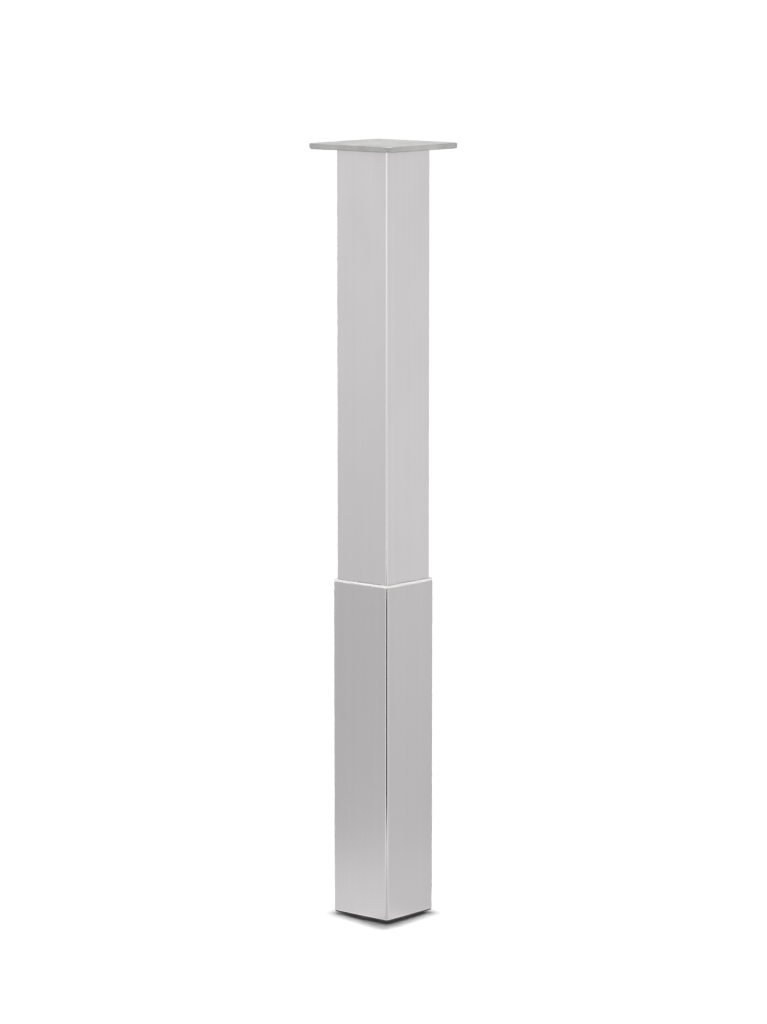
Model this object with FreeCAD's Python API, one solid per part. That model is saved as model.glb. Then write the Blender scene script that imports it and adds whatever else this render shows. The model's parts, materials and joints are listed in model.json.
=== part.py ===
import FreeCAD
import Part
import math
import os

# A height-adjustable square table leg: an upper tube that telescopes in a lower sleeve.
# Two screws on the rear face clamp the tube through a slot, and a threaded foot levels the leg.
# Millimetres, Z up, the floor at zero and the leg's axis on Z. The front face looks towards -Y.

# Overall
closed_height = 710.0         # floor to the mounting plate's upper face, with the tube pushed right in
travel = 180.0                # how far the upper tube draws out of the sleeve
foot_lift = 12.0              # how far the foot screws out to level the leg

# Upper tube and lower sleeve
tube_side = 60.0
tube_wall = 1.5
tube_corner = 2.0
tube_gap = 1.0                # between the two tubes on each side, filled by the collar's tongues
sleeve_wall = 1.5
sleeve_corner = 2.5
sharpest_corner = 0.3         # no inner corner of a tube or moulding is sharper

# Fits, each measured on one side
slide_gap = 0.2               # pieces that slide on each other
press_gap = 0.05              # pieces that are pushed together and stay
thread_gap = 0.05             # a screw in its own thread
screw_gap = 0.3               # a screw in a plain hole
stop_gap = 0.3                # pieces that stop short of each other

# Mounting plate, a casting with a ribbed spigot that plugs the tube
plate_thickness = 5.0
plate_corner = 10.0
plate_edge_bevel = 1.0
plate_rim = 5.0               # full-thickness rim round the hollow underside
plate_hollow = 1.5
plate_rib = 4.0               # rib across the hollow from the tube's corner to each screw boss
tube_land = 2.0               # full-thickness land that the tube's end sits on, past its outside
table_screw_offset = 10.0     # from the tube's faces out to the table screws
table_screw_edge = 10.0       # from the table screws out to the plate's edge
table_screw_hole = 5.5
table_screw_sink = 11.0       # diameter of the 90 degree countersink
table_screw_boss = 16.0
spigot_depth = 28.0
spigot_wall = 4.0
spigot_corner = 3.0
spigot_rib = 3.0
spigot_lead = 1.5             # chamfer that leads the spigot into the tube

# Screws that hold the tube to the spigot, on the rear face
plate_screw = 5.0
plate_screw_head = 9.5
plate_screw_head_height = 2.75
plate_screw_head_rim = 0.8    # straight edge below the dome
plate_screw_head_crown = 5.0  # flat round the socket
plate_screw_key = 3.0
plate_screw_key_depth = 1.6
plate_screw_length = 10.0
plate_screw_spacing = 30.0
plate_screw_drop = 14.0       # below the tube's upper end
plate_screw_boss = 10.0
plate_screw_boss_depth = 4.0
screw_tip = 0.6               # chamfer at the tip of every screw

# Slide plug in the tube's lower end, with a pad on each side
plug_rim = 11.0
plug_insert = 18.0
plug_wall = 2.5
plug_corner = 3.0
plug_lead = 1.0
slide_pad_width = 32.0
slide_pad_height = 8.0
slide_pad_corner = 2.0
slide_pad_seat = 1.5          # depth of the pocket that holds the pad
slide_pad_peg = 5.0
slide_pad_peg_length = 2.0

# Guide collar in the sleeve's mouth
collar_flange = 2.2
collar_edge_bevel = 0.5
collar_lead = 0.5             # bevel round the opening
collar_band = 15.0            # depth of the closed ring above the tongues
tongue_width = 42.0
tongue_corner = 5.0
tongue_below_screws = 20.0

# Clamp: two screws, a slider in the tube's slot, a liner and a threaded plate
clamp_screw = 8.0
clamp_screw_head = 14.0
clamp_screw_head_height = 4.4
clamp_screw_head_rim = 1.2
clamp_screw_head_crown = 8.0
clamp_screw_key = 5.0
clamp_screw_key_depth = 2.6
clamp_screw_past_plate = 2.0
clamp_screw_spacing = 35.0
clamp_screw_below_mouth = 27.0
clamp_washer = 16.0
clamp_washer_thickness = 1.6
slider_width = 11.6
slot_web = 8.0                # tube wall left between the slide plug and the slot
clamp_liner_thickness = 1.0
clamp_plate_thickness = 5.0
clamp_plate_width = 36.0
clamp_plate_corner = 4.0
clamp_plate_past_slider = 5.0

# End cap in the sleeve's lower end
cap_flange = 1.5
cap_inset = 0.5               # flange set back from the sleeve's faces
cap_edge_bevel = 0.5
cap_depth = 20.0
cap_wall = 3.5
cap_floor = 3.0
cap_rib = 2.5
cap_rib_below_top = 6.0
cap_boss_wall = 4.0           # round the nut's corners
cap_lead = 1.0
recess_wall = 3.4             # between the glide's recess and the sleeve

# Stop buffer between the end cap and the slide plug
buffer_thickness = 2.0
buffer_width = 2.5

# Levelling foot
glide_pad_thickness = 1.0
glide_pad_seat = 0.6          # depth that the pad is let into the glide
glide_rim = 3.0
glide_height = 5.1
glide_reveal = 2.1            # height of glide that shows below the end cap
glide_gap = 1.0               # round the glide in its recess
glide_shoulder = 1.5
glide_edge_bevel = 0.4
socket_floor = 1.0
stud_foot = 16.0
stud_foot_height = 2.0
stud_diameter = 10.0
stud_spare = 6.0              # thread left above the nut with the foot fully out
stud_tip = 1.0
stud_hex = 13.0
stud_hex_height = 5.0
nut_hex = 17.0
nut_height = 8.0
nut_shelf = 1.4

# Sections
sleeve_side = tube_side + 2 * tube_gap + 2 * sleeve_wall
tube_bore = tube_side - 2 * tube_wall
sleeve_bore = sleeve_side - 2 * sleeve_wall
cap_body = sleeve_bore - 2 * press_gap
recess_diameter = cap_body - 2 * recess_wall
glide_diameter = recess_diameter - 2 * glide_gap
glide_pad_diameter = glide_diameter - 2 * glide_rim
table_screw_spacing = tube_side + 2 * table_screw_offset
plate_side = table_screw_spacing + 2 * table_screw_edge

# Levels of the foot, the end cap and the nut, from the floor up
glide_bottom = glide_pad_thickness - glide_pad_seat
glide_top = glide_bottom + glide_height
cap_underside = glide_bottom + glide_reveal
sleeve_bottom = cap_underside + cap_flange
recess_roof = glide_top + stop_gap
cap_floor_top = recess_roof + cap_floor
cap_top = sleeve_bottom + cap_depth
stud_bottom = glide_pad_thickness + socket_floor
stud_foot_top = stud_bottom + stud_foot_height
stud_hex_bottom = glide_top + stop_gap
stud_hex_top = stud_hex_bottom + stud_hex_height
nut_bottom = stud_hex_top + stop_gap + nut_shelf
nut_top = nut_bottom + nut_height
stud_top = nut_top + foot_lift + stud_spare

# Levels of the slide plug, the slot, the clamp and the sleeve's mouth, with the leg closed
plug_bottom = cap_top + buffer_thickness
tube_bottom = plug_bottom + plug_rim
insert_top = tube_bottom + plug_insert
slot_bottom = insert_top + slot_web
slider_bottom = slot_bottom + stop_gap + travel
clamp_lower = slider_bottom + slider_width / 2
clamp_upper = clamp_lower + clamp_screw_spacing
clamp_middle = (clamp_lower + clamp_upper) / 2
slider_length = clamp_screw_spacing + slider_width
slot_top = slider_bottom + slider_length + stop_gap
sleeve_top = clamp_upper + clamp_screw_below_mouth
collar_top = sleeve_top + collar_flange
tongue_bottom = clamp_lower - tongue_below_screws
clamp_levels = (clamp_lower, clamp_upper)

# Levels of the tube's upper end
tube_top = closed_height - plate_thickness
plate_screw_level = tube_top - plate_screw_drop
plate_screw_places = (-plate_screw_spacing / 2, plate_screw_spacing / 2)

# Layers of the clamp, outwards along +Y through the rear wall
rear_tube_bore = tube_bore / 2
rear_tube = tube_side / 2
rear_collar = rear_tube + slide_gap
rear_sleeve_bore = sleeve_bore / 2
rear_sleeve = sleeve_side / 2
liner_face = rear_tube_bore - slide_gap
liner_back = liner_face - clamp_liner_thickness
clamp_plate_back = liner_back - clamp_plate_thickness
clamp_head_seat = rear_sleeve + clamp_washer_thickness
clamp_screw_length = clamp_head_seat - clamp_plate_back + clamp_screw_past_plate

# Space past both faces of a wall that a cutter reaches, so that it cuts cleanly
overcut = 1.0

# Points closer than this are one point
touching = 1e-6

ORIGIN = FreeCAD.Vector(0, 0, 0)
X_AXIS = FreeCAD.Vector(1, 0, 0)
Y_AXIS = FreeCAD.Vector(0, 1, 0)
Z_AXIS = FreeCAD.Vector(0, 0, 1)


def point(x, y, z):
    return FreeCAD.Vector(x, y, z)


def inner_corner(corner, wall):
    """Radius inside a wall that follows an outer corner."""
    return max(corner - wall, sharpest_corner)


def rounded_face(width, depth, corner, z):
    """Flat rectangle with round corners, centred on the axis."""
    x = width / 2 - corner
    y = depth / 2 - corner
    bulge = corner * math.sqrt(0.5)
    corners = []
    for side_x, side_y in ((1, 1), (-1, 1), (-1, -1), (1, -1)):
        on_side = point(side_x * (x + corner), side_y * y, z)
        on_end = point(side_x * x, side_y * (y + corner), z)
        middle = point(side_x * (x + bulge), side_y * (y + bulge), z)
        corners.append((on_side, middle, on_end) if side_x == side_y else (on_end, middle, on_side))
    edges = []
    for here, after in zip(corners, corners[1:] + corners[:1]):
        edges.append(Part.Arc(*here).toShape())
        if here[2].distanceToPoint(after[0]) > touching:
            edges.append(Part.LineSegment(here[2], after[0]).toShape())
    return Part.Face(Part.Wire(edges))


def rounded_bar(width, depth, corner, bottom, top):
    """Upright prism on a rounded rectangle."""
    return rounded_face(width, depth, corner, bottom).extrude(point(0, 0, top - bottom))


def square_bar(side, corner, bottom, top):
    return rounded_bar(side, side, corner, bottom, top)


def square_ring(side, corner, bore, bore_corner, bottom, top):
    """Square bar with a square opening right through it."""
    opening = square_bar(bore, bore_corner, bottom - overcut, top + overcut)
    return square_bar(side, corner, bottom, top).cut(opening)


def square_taper(bottom_side, bottom_corner, bottom, top_side, top_corner, top):
    """Solid that runs from one rounded square to another."""
    lower = rounded_face(bottom_side, bottom_side, bottom_corner, bottom).OuterWire
    upper = rounded_face(top_side, top_side, top_corner, top).OuterWire
    return Part.makeLoft([lower, upper], True, True)


def rod(diameter, bottom, top, x=0.0, y=0.0):
    return Part.makeCylinder(diameter / 2, top - bottom, point(x, y, bottom), Z_AXIS)


def cross_rod(diameter, inside, outside, x, z):
    """Rod along Y, for holes through the rear wall."""
    return Part.makeCylinder(diameter / 2, outside - inside, point(x, inside, z), Y_AXIS)


def hex_bar(across_flats, bottom, top):
    radius = across_flats / math.sqrt(3)
    turns = [math.radians(60 * i) for i in range(7)]
    ring = [point(radius * math.cos(turn), radius * math.sin(turn), bottom) for turn in turns]
    return Part.Face(Part.makePolygon(ring)).extrude(point(0, 0, top - bottom))


def turned(outline):
    """Solid of revolution about Z from (radius, height) points."""
    ring = [point(radius, 0, z) for radius, z in outline]
    return Part.Face(Part.makePolygon(ring + ring[:1])).revolve(ORIGIN, Z_AXIS, 360)


def edges_at(shape, z):
    """Edges that lie flat at one level."""
    return [edge for edge in shape.Edges
            if abs(edge.BoundBox.ZMin - z) < press_gap and abs(edge.BoundBox.ZMax - z) < press_gap]


def to_rear(shape, y, z, x=0.0):
    """Lays a piece made along Z on the rear face, with its top towards +Y."""
    laid = shape.copy()
    laid.rotate(ORIGIN, X_AXIS, -90)
    laid.translate(point(x, y, z))
    return laid


def on_each_side(shape):
    """Copies of a rear-side piece on the four sides."""
    sides = []
    for quarter in range(4):
        side = shape.copy()
        side.rotate(ORIGIN, Z_AXIS, 90 * quarter)
        sides.append(side)
    return sides


def button_screw(diameter, length, head, head_height, rim, crown, key, key_depth):
    """Screw along Z with its sloping hex-socket head standing on zero."""
    shank = diameter / 2
    blank = turned([(0, -length), (shank - screw_tip, -length), (shank, screw_tip - length), (shank, 0),
                    (head / 2, 0), (head / 2, rim), (crown / 2, head_height), (0, head_height)])
    return blank.cut(hex_bar(key, head_height - key_depth, head_height + overcut))


def upper_tube():
    """Square tube with the clamp's slot and two screw holes in its rear wall."""
    tube = square_ring(tube_side, tube_corner, tube_bore, inner_corner(tube_corner, tube_wall),
                       tube_bottom, tube_top)
    slot_width = slider_width + 2 * slide_gap
    slot_length = slot_top - slot_bottom
    slot = rounded_bar(slot_width, slot_length, slot_width / 2, -tube_wall - overcut, overcut)
    tube = tube.cut(to_rear(slot, rear_tube, (slot_top + slot_bottom) / 2))
    hole = plate_screw + 2 * screw_gap
    for x in plate_screw_places:
        tube = tube.cut(cross_rod(hole, rear_tube_bore - overcut, rear_tube + overcut, x, plate_screw_level))
    return tube


def lower_sleeve():
    """Square sleeve with two holes for the clamp screws in its rear wall."""
    sleeve = square_ring(sleeve_side, sleeve_corner, sleeve_bore, inner_corner(sleeve_corner, sleeve_wall),
                         sleeve_bottom, sleeve_top)
    hole = clamp_screw + 2 * screw_gap
    for z in clamp_levels:
        sleeve = sleeve.cut(cross_rod(hole, rear_sleeve_bore - overcut, rear_sleeve + overcut, 0, z))
    return sleeve


def table_screw_places():
    reach = table_screw_spacing / 2
    return [(x, y) for x in (-reach, reach) for y in (-reach, reach)]


def plate_flange():
    """Square flange with a hollow underside, bosses and four countersunk holes."""
    flange = square_bar(plate_side, plate_corner, tube_top, closed_height)
    flange = flange.makeChamfer(plate_edge_bevel, edges_at(flange, tube_top))
    hollow_side = plate_side - 2 * plate_rim
    land = tube_side + 2 * tube_land
    hollow = square_ring(hollow_side, inner_corner(plate_corner, plate_rim), land, tube_corner,
                         tube_top - overcut, tube_top + plate_hollow)
    for x, y in table_screw_places():
        hollow = hollow.cut(rod(table_screw_boss, tube_top - overcut, tube_top + plate_hollow, x, y))
    diagonal = table_screw_spacing * math.sqrt(2)
    for slant in (45, -45):
        rib = Part.makeBox(diagonal, plate_rib, plate_hollow + overcut,
                           point(-diagonal / 2, -plate_rib / 2, tube_top - overcut))
        rib.rotate(ORIGIN, Z_AXIS, slant)
        hollow = hollow.cut(rib)
    flange = flange.cut(hollow)
    sink_depth = (table_screw_sink - table_screw_hole) / 2
    for x, y in table_screw_places():
        flange = flange.cut(rod(table_screw_hole, tube_top - overcut, closed_height + overcut, x, y))
        sink = Part.makeCone(table_screw_sink / 2, table_screw_hole / 2, sink_depth,
                             point(x, y, tube_top), Z_AXIS)
        flange = flange.cut(sink)
    return flange


def plate_spigot():
    """Hollow square spigot with crossed ribs and two screw bosses."""
    side = tube_bore - 2 * press_gap
    bottom = tube_top - spigot_depth
    bar = square_bar(side, spigot_corner, bottom + spigot_lead, tube_top)
    lead_corner = inner_corner(spigot_corner, spigot_lead)
    lead = square_taper(side - 2 * spigot_lead, lead_corner, bottom,
                        side, spigot_corner, bottom + spigot_lead)
    bore = side - 2 * spigot_wall
    hollow = square_bar(bore, inner_corner(spigot_corner, spigot_wall), bottom - overcut, tube_top)
    inside_rear = bore / 2
    for x in plate_screw_places:
        boss = cross_rod(plate_screw_boss, inside_rear - plate_screw_boss_depth, inside_rear + overcut, x,
                         plate_screw_level)
        hollow = hollow.cut(boss)
    for width, depth in ((spigot_rib, bore), (bore, spigot_rib)):
        rib = Part.makeBox(width, depth, spigot_depth, point(-width / 2, -depth / 2, bottom))
        hollow = hollow.cut(rib)
    spigot = bar.fuse(lead).removeSplitter().cut(hollow)
    thread = plate_screw + 2 * thread_gap
    for x in plate_screw_places:
        inside = inside_rear - plate_screw_boss_depth - overcut
        spigot = spigot.cut(cross_rod(thread, inside, rear_tube, x, plate_screw_level))
    return spigot


def mounting_plate():
    return plate_flange().fuse(plate_spigot()).removeSplitter()


def plate_screws():
    screw = button_screw(plate_screw, plate_screw_length, plate_screw_head, plate_screw_head_height,
                         plate_screw_head_rim, plate_screw_head_crown, plate_screw_key, plate_screw_key_depth)
    return Part.makeCompound([to_rear(screw, rear_tube, plate_screw_level, x) for x in plate_screw_places])


def slide_pad(gap):
    """One pad on the rear side, grown by a gap to cut its own pocket."""
    thickness = slide_pad_seat + tube_gap - slide_gap
    pad = rounded_bar(slide_pad_width + 2 * gap, slide_pad_height + 2 * gap, slide_pad_corner, 0, thickness)
    peg = rod(slide_pad_peg + 2 * gap, -slide_pad_peg_length - gap, 0)
    return to_rear(pad.fuse(peg).removeSplitter(), rear_tube - slide_pad_seat, plug_bottom + plug_rim / 2)


def slide_plug():
    """Ring plug: a rim below the tube with a pocket on each side, and an insert inside it."""
    side = tube_bore - 2 * press_gap
    rim = square_bar(tube_side, tube_corner, plug_bottom, tube_bottom)
    insert = square_bar(side, plug_corner, tube_bottom, insert_top - plug_lead)
    lead_corner = inner_corner(plug_corner, plug_lead)
    lead = square_taper(side, plug_corner, insert_top - plug_lead,
                        side - 2 * plug_lead, lead_corner, insert_top)
    opening = square_bar(side - 2 * plug_wall, inner_corner(plug_corner, plug_wall),
                         plug_bottom - overcut, insert_top + overcut)
    plug = rim.fuse([insert, lead]).removeSplitter().cut(opening)
    return plug.cut(on_each_side(slide_pad(press_gap)))


def slide_pads():
    return Part.makeCompound(on_each_side(slide_pad(0.0)))


def guide_collar():
    """Flange on the sleeve's mouth, a closed band below it, and a tongue down each inner face."""
    opening = tube_side + 2 * slide_gap
    opening_corner = tube_corner + slide_gap
    outside = sleeve_bore - 2 * press_gap
    outside_corner = inner_corner(sleeve_corner, sleeve_wall + press_gap)
    band_bottom = sleeve_top - collar_band
    flange = square_bar(sleeve_side, sleeve_corner, sleeve_top, collar_top)
    flange = flange.makeChamfer(collar_edge_bevel, edges_at(flange, collar_top))
    band = square_bar(outside, outside_corner, band_bottom, sleeve_top)
    collar = flange.fuse(band).removeSplitter()
    collar = collar.cut(square_bar(opening, opening_corner, band_bottom - overcut, collar_top + overcut))
    lead_side = opening + 2 * collar_lead
    collar = collar.cut(square_taper(opening, opening_corner, collar_top - collar_lead,
                                     lead_side, opening_corner + collar_lead, collar_top))
    tongue_length = band_bottom + tongue_corner - tongue_bottom
    tongue = rounded_bar(tongue_width, tongue_length, tongue_corner, 0, (outside - opening) / 2)
    tongue = to_rear(tongue, rear_collar, tongue_bottom + tongue_length / 2)
    collar = collar.fuse(on_each_side(tongue)).removeSplitter()
    hole = clamp_screw + 2 * screw_gap
    for z in clamp_levels:
        collar = collar.cut(cross_rod(hole, rear_tube, rear_sleeve, 0, z))
    return collar


def clamp_layer(width, length, corner, inside, outside, hole):
    """Flat piece of the clamp with a hole for each screw."""
    layer = to_rear(rounded_bar(width, length, corner, inside, outside), 0, clamp_middle)
    for z in clamp_levels:
        layer = layer.cut(cross_rod(hole, inside - overcut, outside + overcut, 0, z))
    return layer


def slot_slider():
    """Round-ended slider that fills the tube's slot between the liner and the collar."""
    return clamp_layer(slider_width, slider_length, slider_width / 2, liner_face, rear_collar,
                       clamp_screw + 2 * screw_gap)


def clamp_liner():
    length = slider_length + 2 * clamp_plate_past_slider
    return clamp_layer(clamp_plate_width, length, clamp_plate_corner, liner_back, liner_face,
                       clamp_screw + 2 * screw_gap)


def clamp_plate():
    length = slider_length + 2 * clamp_plate_past_slider
    return clamp_layer(clamp_plate_width, length, clamp_plate_corner, clamp_plate_back, liner_back,
                       clamp_screw + 2 * thread_gap)


def clamp_washer_at(z):
    washer = rod(clamp_washer, 0, clamp_washer_thickness)
    washer = washer.cut(rod(clamp_screw + 2 * screw_gap, -overcut, clamp_washer_thickness + overcut))
    return to_rear(washer, rear_sleeve, z)


def clamp_screw_at(z):
    screw = button_screw(clamp_screw, clamp_screw_length, clamp_screw_head, clamp_screw_head_height,
                         clamp_screw_head_rim, clamp_screw_head_crown, clamp_screw_key, clamp_screw_key_depth)
    return to_rear(screw, clamp_head_seat, z)


def end_cap():
    """Plug with a thin flange, a round recess for the glide, and a ribbed boss that holds the nut."""
    body_corner = inner_corner(sleeve_corner, sleeve_wall + press_gap)
    flange_side = sleeve_side - 2 * cap_inset
    flange = square_bar(flange_side, inner_corner(sleeve_corner, cap_inset), cap_underside, sleeve_bottom)
    flange = flange.makeChamfer(cap_edge_bevel, edges_at(flange, cap_underside))
    body = square_bar(cap_body, body_corner, sleeve_bottom, cap_top - cap_lead)
    top_side = cap_body - 2 * cap_lead
    lead = square_taper(cap_body, body_corner, cap_top - cap_lead, top_side, body_corner, cap_top)
    bore = cap_body - 2 * cap_wall
    hollow = square_bar(bore, inner_corner(body_corner, cap_wall), cap_floor_top, cap_top + overcut)
    nut_corners = nut_hex * 2 / math.sqrt(3)
    hollow = hollow.cut(rod(nut_corners + 2 * cap_boss_wall, cap_floor_top - overcut, nut_top))
    rib_height = cap_top - cap_rib_below_top - cap_floor_top
    for width, depth in ((cap_rib, bore), (bore, cap_rib)):
        rib = Part.makeBox(width, depth, rib_height, point(-width / 2, -depth / 2, cap_floor_top))
        hollow = hollow.cut(rib)
    cap = flange.fuse([body, lead]).removeSplitter().cut(hollow)
    stud_corners = stud_hex * 2 / math.sqrt(3)
    cap = cap.cut(rod(recess_diameter, cap_underside - overcut, recess_roof))
    cap = cap.cut(rod(stud_corners + 2 * screw_gap, cap_underside, stud_hex_top + stop_gap))
    cap = cap.cut(rod(stud_diameter + 2 * screw_gap, cap_underside, nut_top))
    return cap.cut(hex_bar(nut_hex + 2 * press_gap, nut_bottom, nut_top + overcut))


def stop_buffer():
    """Square rubber ring on the end cap's upper edge."""
    side = cap_body - 2 * cap_lead
    corner = inner_corner(sleeve_corner, sleeve_wall + press_gap)
    bore = side - 2 * buffer_width
    return square_ring(side, corner, bore, inner_corner(corner, buffer_width), cap_top, plug_bottom)


def foot_nut():
    thread = rod(stud_diameter + 2 * thread_gap, nut_bottom - overcut, nut_top + overcut)
    return hex_bar(nut_hex, nut_bottom, nut_top).cut(thread)


def foot_stud():
    """Threaded stud with a round foot that turns in the glide, and a hex for a spanner."""
    shank = stud_diameter / 2
    stud = turned([(0, stud_bottom), (stud_foot / 2, stud_bottom), (stud_foot / 2, stud_foot_top),
                   (shank, stud_foot_top), (shank, stud_top - stud_tip), (shank - stud_tip, stud_top),
                   (0, stud_top)])
    return stud.fuse(hex_bar(stud_hex, stud_hex_bottom, stud_hex_top)).removeSplitter()


def foot_glide():
    """Round glide with a socket for the stud's foot and a shallow seat for the pad."""
    outside = glide_diameter / 2
    socket = stud_foot / 2 + screw_gap
    neck = stud_diameter / 2 + screw_gap
    pad_seat = glide_pad_diameter / 2 + press_gap
    lip = stud_foot_top + slide_gap
    return turned([(0, stud_bottom), (socket, stud_bottom), (socket, lip), (neck, lip), (neck, glide_top),
                   (outside - glide_shoulder, glide_top), (outside, glide_top - glide_shoulder),
                   (outside, glide_bottom + glide_edge_bevel), (outside - glide_edge_bevel, glide_bottom),
                   (pad_seat, glide_bottom), (pad_seat, glide_pad_thickness), (0, glide_pad_thickness)])


def glide_pad():
    return rod(glide_pad_diameter, 0, glide_pad_thickness)


pieces = {
    "mounting_plate": mounting_plate(),
    "plate_screws": plate_screws(),
    "upper_tube": upper_tube(),
    "slide_plug": slide_plug(),
    "slide_pads": slide_pads(),
    "lower_sleeve": lower_sleeve(),
    "guide_collar": guide_collar(),
    "slot_slider": slot_slider(),
    "clamp_liner": clamp_liner(),
    "clamp_plate": clamp_plate(),
    "clamp_washer_upper": clamp_washer_at(clamp_upper),
    "clamp_washer_lower": clamp_washer_at(clamp_lower),
    "clamp_screw_upper": clamp_screw_at(clamp_upper),
    "clamp_screw_lower": clamp_screw_at(clamp_lower),
    "end_cap": end_cap(),
    "stop_buffer": stop_buffer(),
    "foot_nut": foot_nut(),
    "foot_stud": foot_stud(),
    "foot_glide": foot_glide(),
    "glide_pad": glide_pad(),
}

os.makedirs("parts", exist_ok=True)
for name, shape in pieces.items():
    shape.exportStep(f"parts/{name}.step")
    box = shape.BoundBox
    print(f"{name}: {len(shape.Solids)} solid(s), valid {shape.isValid()}, {shape.Volume / 1000:.2f} cm3,"
          f" z {box.ZMin:.2f} to {box.ZMax:.2f}")
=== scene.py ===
# %% [markdown]
# # A telescoping table leg in brushed steel
#
# This lesson dresses a finished engineering model. The leg is a square steel tube that slides in a
# slightly larger square sleeve, with a pale collar between them, a mounting plate on top, a screw clamp
# on the rear face and a levelling foot below. The sizes and places come from the engineering model, so
# nothing is placed by eye. The work here is to give every piece real edges, real threads and a real
# finish.

# %% Load the engineering model
import json
from math import atan2, copysign, cos, pi, radians, sin, sqrt, tan

import bmesh
import bpy
from mathutils import Matrix, Vector


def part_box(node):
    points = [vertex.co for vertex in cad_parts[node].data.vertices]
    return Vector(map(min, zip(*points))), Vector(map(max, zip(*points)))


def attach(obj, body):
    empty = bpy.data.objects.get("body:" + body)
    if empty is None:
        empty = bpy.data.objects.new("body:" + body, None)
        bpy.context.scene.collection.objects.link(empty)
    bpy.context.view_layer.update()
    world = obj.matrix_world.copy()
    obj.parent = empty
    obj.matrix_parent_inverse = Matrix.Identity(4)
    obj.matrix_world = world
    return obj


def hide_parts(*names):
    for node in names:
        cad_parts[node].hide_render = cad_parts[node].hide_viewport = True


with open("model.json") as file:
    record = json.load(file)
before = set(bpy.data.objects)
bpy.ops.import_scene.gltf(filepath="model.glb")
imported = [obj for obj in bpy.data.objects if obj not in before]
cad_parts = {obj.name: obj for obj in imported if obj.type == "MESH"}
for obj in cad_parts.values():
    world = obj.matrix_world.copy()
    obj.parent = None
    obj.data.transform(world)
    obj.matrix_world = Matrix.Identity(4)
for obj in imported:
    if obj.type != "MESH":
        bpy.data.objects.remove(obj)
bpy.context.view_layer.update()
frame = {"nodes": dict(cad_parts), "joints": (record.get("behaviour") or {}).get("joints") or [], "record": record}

# %% [markdown]
# ## Small tools for shaders
#
# Every finish below is a tree of shader nodes. It could be clicked together in the Shader Editor, but a
# script can be read, repeated and corrected. Writing each node out in full would hide the idea behind
# typing, so these helpers add a node, set its sockets and link it to others. A value that is the same all
# over a surface is set on the shader's own socket, because then every program that opens the model can
# read it.

# %% Nodes and sockets
def plug(tree, node, socket, value):
    """Sets a socket to a constant, or links it to another node's output."""
    if isinstance(value, bpy.types.NodeSocket):
        tree.links.new(value, node.inputs[socket])
    else:
        node.inputs[socket].default_value = value


def add(tree, kind, inputs, **settings):
    """Adds a shader node, with its settings and its sockets."""
    node = tree.nodes.new("ShaderNode" + kind)
    for name, value in settings.items():
        setattr(node, name, value)
    for socket, value in inputs.items():
        plug(tree, node, socket, value)
    return node


def new_finish(name, metal):
    """Material with one main shader, set to metal or not, and its tree."""
    made = bpy.data.materials.new(name)
    made.use_nodes = True
    plug(made.node_tree, made.node_tree.nodes["Principled BSDF"], "Metallic", metal)
    return made, made.node_tree


print("helpers for nodes: plug, add, new_finish")

# %% [markdown]
# ## Sums, ramps and patterns
#
# No real surface is even, so most sockets get a pattern instead of a number. A pattern starts from the
# place on the piece, in metres, and goes through noise of the size that the real grain has. Image
# textures on an unwrapped mesh would do too, but the place needs no seams and keeps the grain at its true
# size on every piece. A ramp then turns the pattern into the range of values that the socket needs.

# %% Sums and ramps
mix_values = (2, 3)  # a Mix node's sockets for two values
mix_colours = (6, 7)  # and for two colours
mixed_value = 0  # its outputs
mixed_colour = 2


def maths(tree, operation, first, second=0.0):
    """One step of arithmetic between two values."""
    return add(tree, "Math", {0: first, 1: second}, operation=operation).outputs[0]


def ramp(tree, value, start, end, low=0.0, high=1.0, kind="SMOOTHSTEP"):
    """Runs from low to high while the value goes from start to end."""
    inputs = {"Value": value, "From Min": start, "From Max": end, "To Min": low, "To Max": high}
    return add(tree, "MapRange", inputs, interpolation_type=kind).outputs["Result"]


def blend(tree, amount, first, second):
    """Value between two values."""
    inputs = {"Factor": amount, mix_values[0]: first, mix_values[1]: second}
    return add(tree, "Mix", inputs).outputs[mixed_value]


def tint(tree, amount, first, second):
    """Colour between two colours, each written out or linked."""
    node = add(tree, "Mix", {"Factor": amount}, data_type="RGBA")
    for socket, colour in zip(mix_colours, (first, second)):
        plug(tree, node, socket, colour if isinstance(colour, bpy.types.NodeSocket) else (*colour, 1))
    return node.outputs[mixed_colour]


def shade(tone, share):
    """The same colour, darker or lighter."""
    return [channel * share for channel in tone]


print("helpers for values: maths, ramp, blend, tint, shade")

# %% Places and patterns
noise_range = (0.3, 0.7)  # nearly all of a noise pattern lies between these


def places(tree):
    """Place on the piece in metres, as a whole and as x, y and z."""
    whole = add(tree, "TexCoord", {}).outputs["Object"]
    parts = add(tree, "SeparateXYZ", {0: whole})
    return whole, parts.outputs[0], parts.outputs[1], parts.outputs[2]


def noise(tree, where, size, detail=3.0):
    """Cloudy pattern with patches of that size in metres: one number, or three for x, y and z."""
    sizes = size if isinstance(size, tuple) else (size, size, size)
    stretched = add(tree, "Mapping", {"Vector": where, "Scale": tuple(1 / s for s in sizes)})
    inputs = {"Vector": stretched.outputs[0], "Scale": 1.0, "Detail": detail}
    return add(tree, "TexNoise", inputs).outputs["Fac"]


def uneven(tree, pattern, low, high):
    """Values from low to high that follow a noise pattern."""
    return ramp(tree, pattern, *noise_range, low, high, "LINEAR")


def set_surface(tree, colour, rough, height, depth, strength):
    """Gives the main shader its colour, its roughness and a bump of a real depth in metres."""
    shader = tree.nodes["Principled BSDF"]
    bump = add(tree, "Bump", {"Height": height, "Distance": depth, "Strength": strength})
    for socket, value in (("Base Color", colour), ("Roughness", rough), ("Normal", bump.outputs[0])):
        plug(tree, shader, socket, value)
    return shader


print("helpers for patterns: places, noise, uneven, set_surface")

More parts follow.
